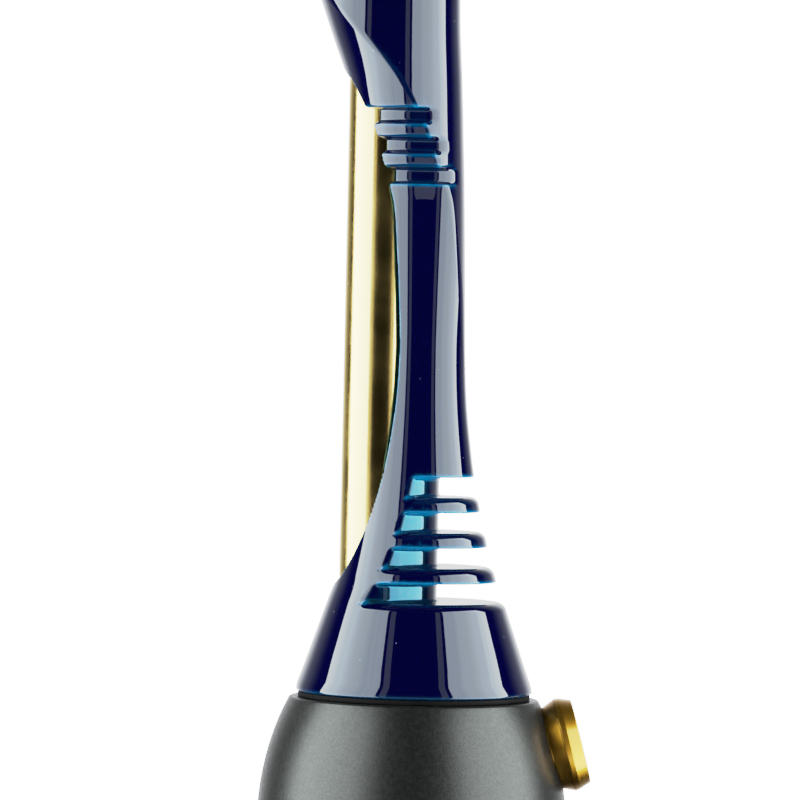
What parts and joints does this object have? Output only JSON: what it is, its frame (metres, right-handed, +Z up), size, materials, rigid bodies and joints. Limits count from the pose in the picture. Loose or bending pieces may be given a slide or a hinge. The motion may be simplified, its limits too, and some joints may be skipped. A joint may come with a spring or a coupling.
{
  "type": "water pipe stem set",
  "caption": "Water-pipe stem with a sculpted sleeve round an off-centre smoke tube, a bell base cup with hose port, tray, bowl seat and downstem.",
  "frame": {"origin": "centre of the base cup's bottom rim, on the axis of the cup, where the vase's neck goes in", "axes": "+Z up along the stem, +X towards the hose port, the smoke tube lies towards -X"},
  "size_m": [0.1504, 0.1504, 0.492],
  "materials": {
    "candy_blue": "high-gloss candy lacquer over bright metal",
    "polished_gold": "polished and lacquered",
    "matte_black": "bead-blasted, black anodised",
    "tray_black": "satin black anodised, turned",
    "seal_black": "matte silicone",
    "bright_steel": "stainless, finely brushed"
  },
  "bodies": {
    "stem": {"sleeve": "candy_blue", "base_cup": "matte_black", "base_gasket": "seal_black", "sleeve_key_pin": "bright_steel", "vase_seal": "seal_black", "main_tube": "polished_gold", "tube_washer": "bright_steel", "tube_nut": "bright_steel", "port_gasket": "seal_black", "port_fitting": "polished_gold", "port_o_ring": "seal_black", "port_ring": "polished_gold", "purge_seat": "polished_gold", "purge_cage": "polished_gold", "collar_washer": "seal_black", "top_collar": "polished_gold", "tray_ring": "seal_black"},
    "tray": {"tray": "tray_black"},
    "bowl_seat": {"bowl_seat": "polished_gold", "seat_o_ring_1": "seal_black", "seat_o_ring_2": "seal_black", "bowl_grommet": "seal_black"},
    "purge_ball": {"purge_ball": "bright_steel"},
    "downstem": {"downstem": "bright_steel", "downstem_o_ring_1": "seal_black", "downstem_o_ring_2": "seal_black"},
    "diffuser": {"diffuser": "seal_black"}
  },
  "joints": [
    {"name": "tray_lift", "type": "slide", "parent": "stem", "child": "tray", "axis": [0, 0, 1], "range_m": [0, 0.045]},
    {"name": "bowl_seat_pull", "type": "slide", "parent": "stem", "child": "bowl_seat", "axis": [0, 0, 1], "range_m": [0, 0.012]},
    {"name": "purge_ball_lift", "type": "slide", "parent": "stem", "child": "purge_ball", "axis": [0, 0, 1], "range_m": [0, 0.0024]},
    {"name": "downstem_pull", "type": "slide", "parent": "stem", "child": "downstem", "axis": [0, 0, -1], "range_m": [0, 0.014]},
    {"name": "diffuser_slide", "type": "slide", "parent": "downstem", "child": "diffuser", "axis": [0, 0, -1], "range_m": [0, 0.012]}
  ]
}
